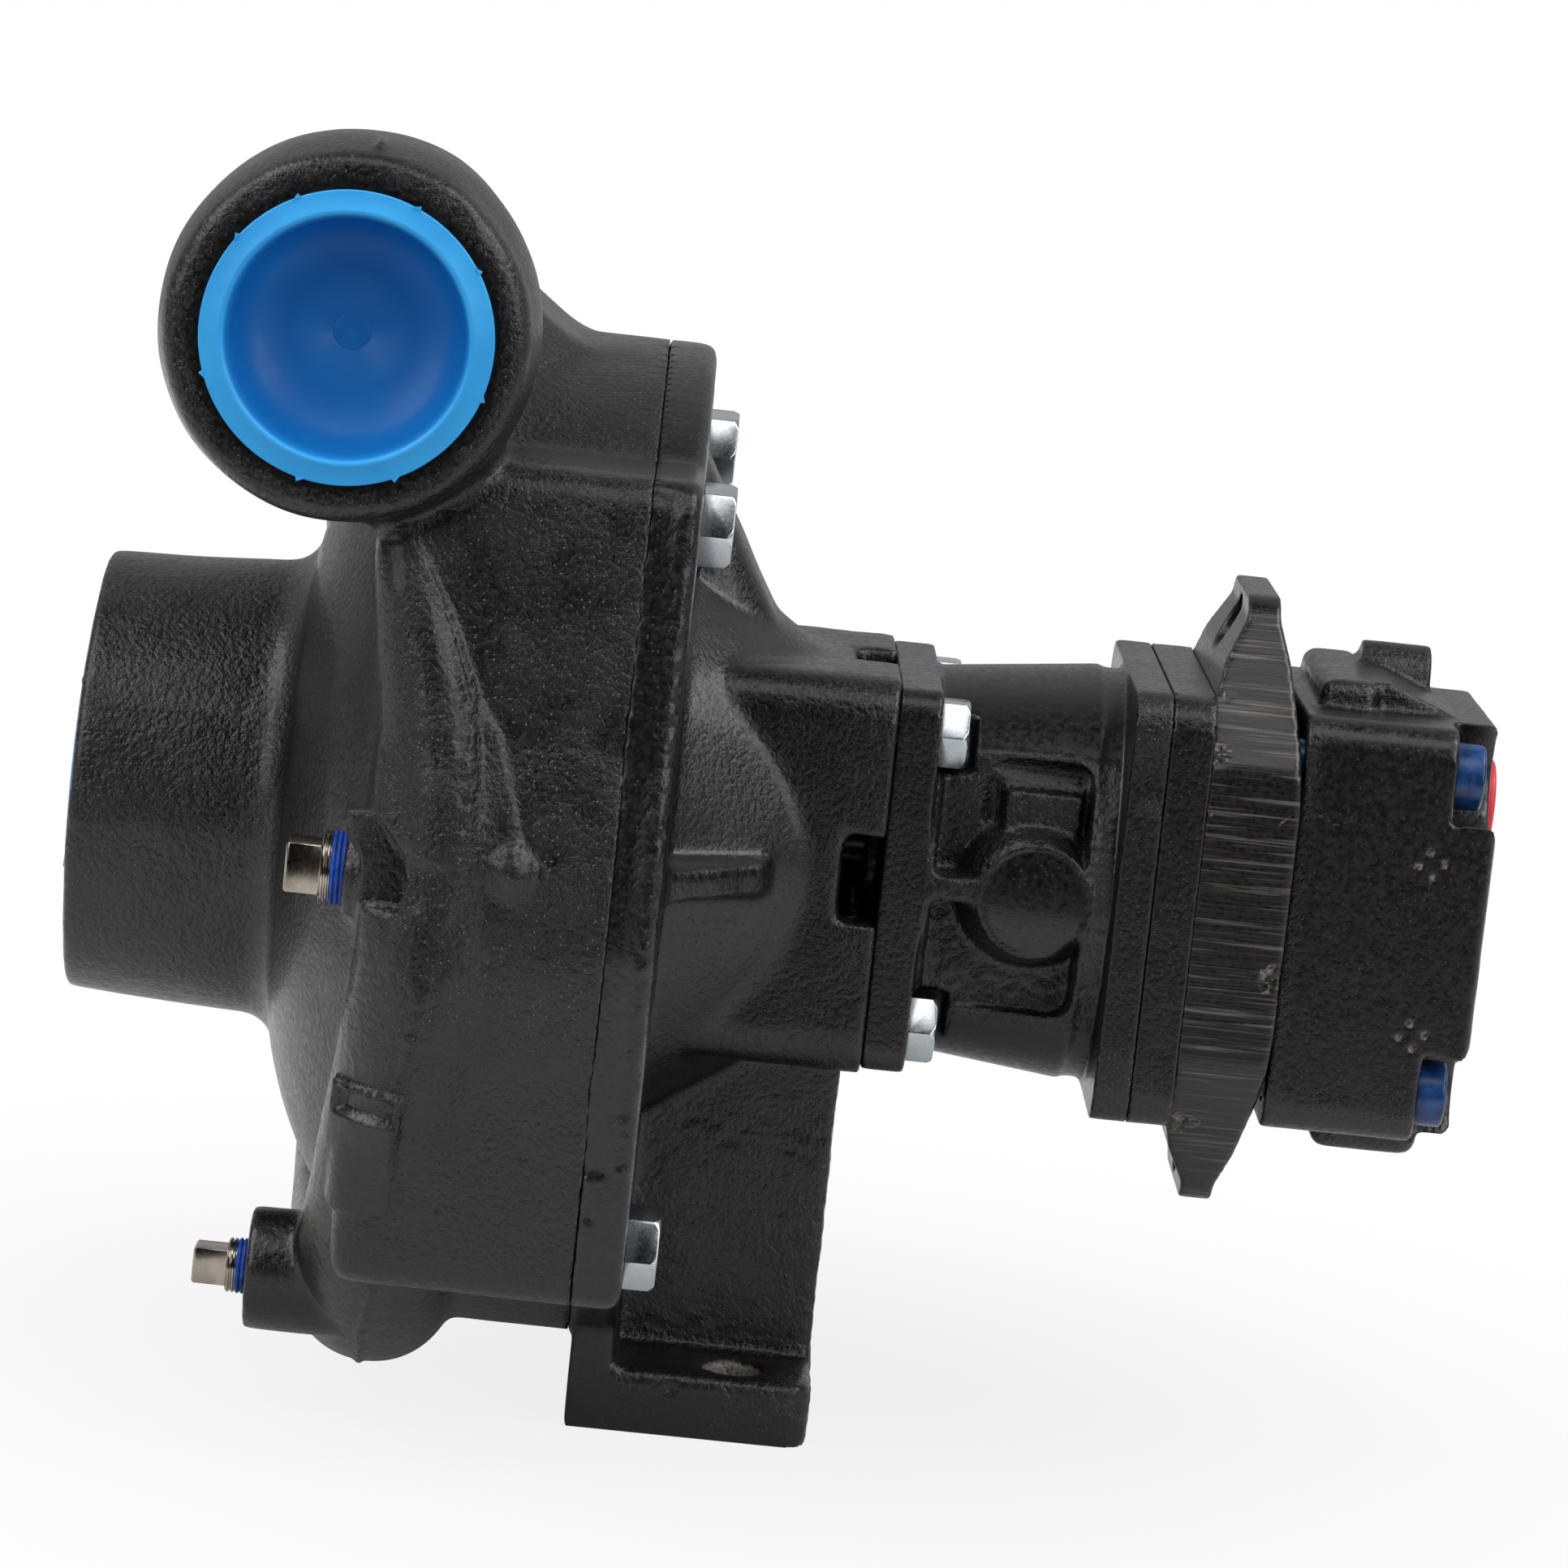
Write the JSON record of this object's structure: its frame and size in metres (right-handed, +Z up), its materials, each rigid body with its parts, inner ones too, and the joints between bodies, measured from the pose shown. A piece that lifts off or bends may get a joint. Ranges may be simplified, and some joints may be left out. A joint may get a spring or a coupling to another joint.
{
  "type": "hydraulic motor driven centrifugal pump",
  "caption": "Cast centrifugal pump with side outlet and end inlet, close-coupled on a footed bracket to a hydraulic gerotor motor.",
  "frame": {"origin": "on the underside of the foot, midway between its two bolt holes", "axes": "+X along the shaft towards the motor's ports, outlet towards -Y, +Z up"},
  "size_m": [0.2792, 0.2205, 0.2508],
  "materials": {
    "casting_black": "semi-gloss black enamel on sand-cast iron",
    "plate_black": "black enamel on a sawn iron flange",
    "zinc_steel": "bright zinc-plated steel",
    "black_steel": "black oxide steel",
    "nickel_steel": "plain steel pipe plug",
    "ground_steel": "ground steel",
    "brass": "pressed brass",
    "bronze": "sintered bronze",
    "impeller_iron": "cast iron, plain",
    "rubber": "nitrile rubber",
    "ceramic": "sintered ceramic",
    "carbon": "lapped carbon",
    "cap_blue": "moulded blue polyethylene",
    "plug_red": "moulded red polyethylene"
  },
  "bodies": {
    "pump_body": {"volute_casing": "casting_black", "mounting_flange": "casting_black", "front_housing": "casting_black", "motor_block": "casting_black", "rear_cover": "casting_black", "ear_plate": "plate_black", "casing_bolts": "zinc_steel", "motor_bolts": "zinc_steel", "cap_screws": "black_steel", "housing_snap_ring": "black_steel", "drain_plug": "nickel_steel", "low_drain_plug": "nickel_steel", "bearing_outer_ring": "ground_steel", "dowel_pins": "ground_steel", "wear_plate": "ground_steel", "rear_bush": "bronze", "casing_o_ring": "rubber", "seal_seat_cup": "rubber", "shaft_seal": "rubber", "seal_seat": "ceramic"},
    "rotor": {"shaft": "ground_steel", "impeller": "impeller_iron", "impeller_washer": "black_steel", "impeller_nut": "ground_steel", "impeller_key": "ground_steel", "seal_face_ring": "carbon", "seal_bellows": "rubber", "seal_spring": "ground_steel", "slinger_ring": "rubber", "bearing_inner_ring": "ground_steel", "shaft_snap_ring": "black_steel", "inner_rotor": "ground_steel", "rotor_key": "ground_steel"},
    "ring_rotor": {"outer_rotor": "ground_steel"},
    "ball_train": {"bearing_balls": "ground_steel", "ball_cage": "brass"},
    "suction_plug": {"suction_cap": "cap_blue"},
    "outlet_plug": {"outlet_cap": "cap_blue"},
    "upper_red_plug": {"upper_port_plug": "plug_red"},
    "lower_red_plug": {"lower_port_plug": "plug_red"}
  },
  "joints": [
    {"name": "shaft_spin", "type": "hinge", "parent": "pump_body", "child": "rotor", "pos_m": [-0.033, 0, 0.1143], "axis": [1, 0, 0], "continuous": true},
    {"name": "ring_rotor_spin", "type": "hinge", "parent": "pump_body", "child": "ring_rotor", "pos_m": [-0.033, 0, 0.1117], "axis": [1, 0, 0], "continuous": true},
    {"name": "ball_train_spin", "type": "hinge", "parent": "pump_body", "child": "ball_train", "pos_m": [-0.033, 0, 0.1143], "axis": [1, 0, 0], "continuous": true},
    {"name": "suction_cap_pull", "type": "slide", "parent": "pump_body", "child": "suction_plug", "axis": [-1, 0, 0], "range_m": [0, 0.025]},
    {"name": "outlet_cap_pull", "type": "slide", "parent": "pump_body", "child": "outlet_plug", "axis": [0, -1, 0], "range_m": [0, 0.022]},
    {"name": "upper_port_plug_pull", "type": "slide", "parent": "pump_body", "child": "upper_red_plug", "axis": [1, 0, 0], "range_m": [0, 0.014]},
    {"name": "lower_port_plug_pull", "type": "slide", "parent": "pump_body", "child": "lower_red_plug", "axis": [1, 0, 0], "range_m": [0, 0.014]}
  ],
  "couplings": [
    {"joint": "ring_rotor_spin", "follows": "shaft_spin", "ratio": 0.85714},
    {"joint": "ball_train_spin", "follows": "shaft_spin", "ratio": 0.3836}
  ]
}
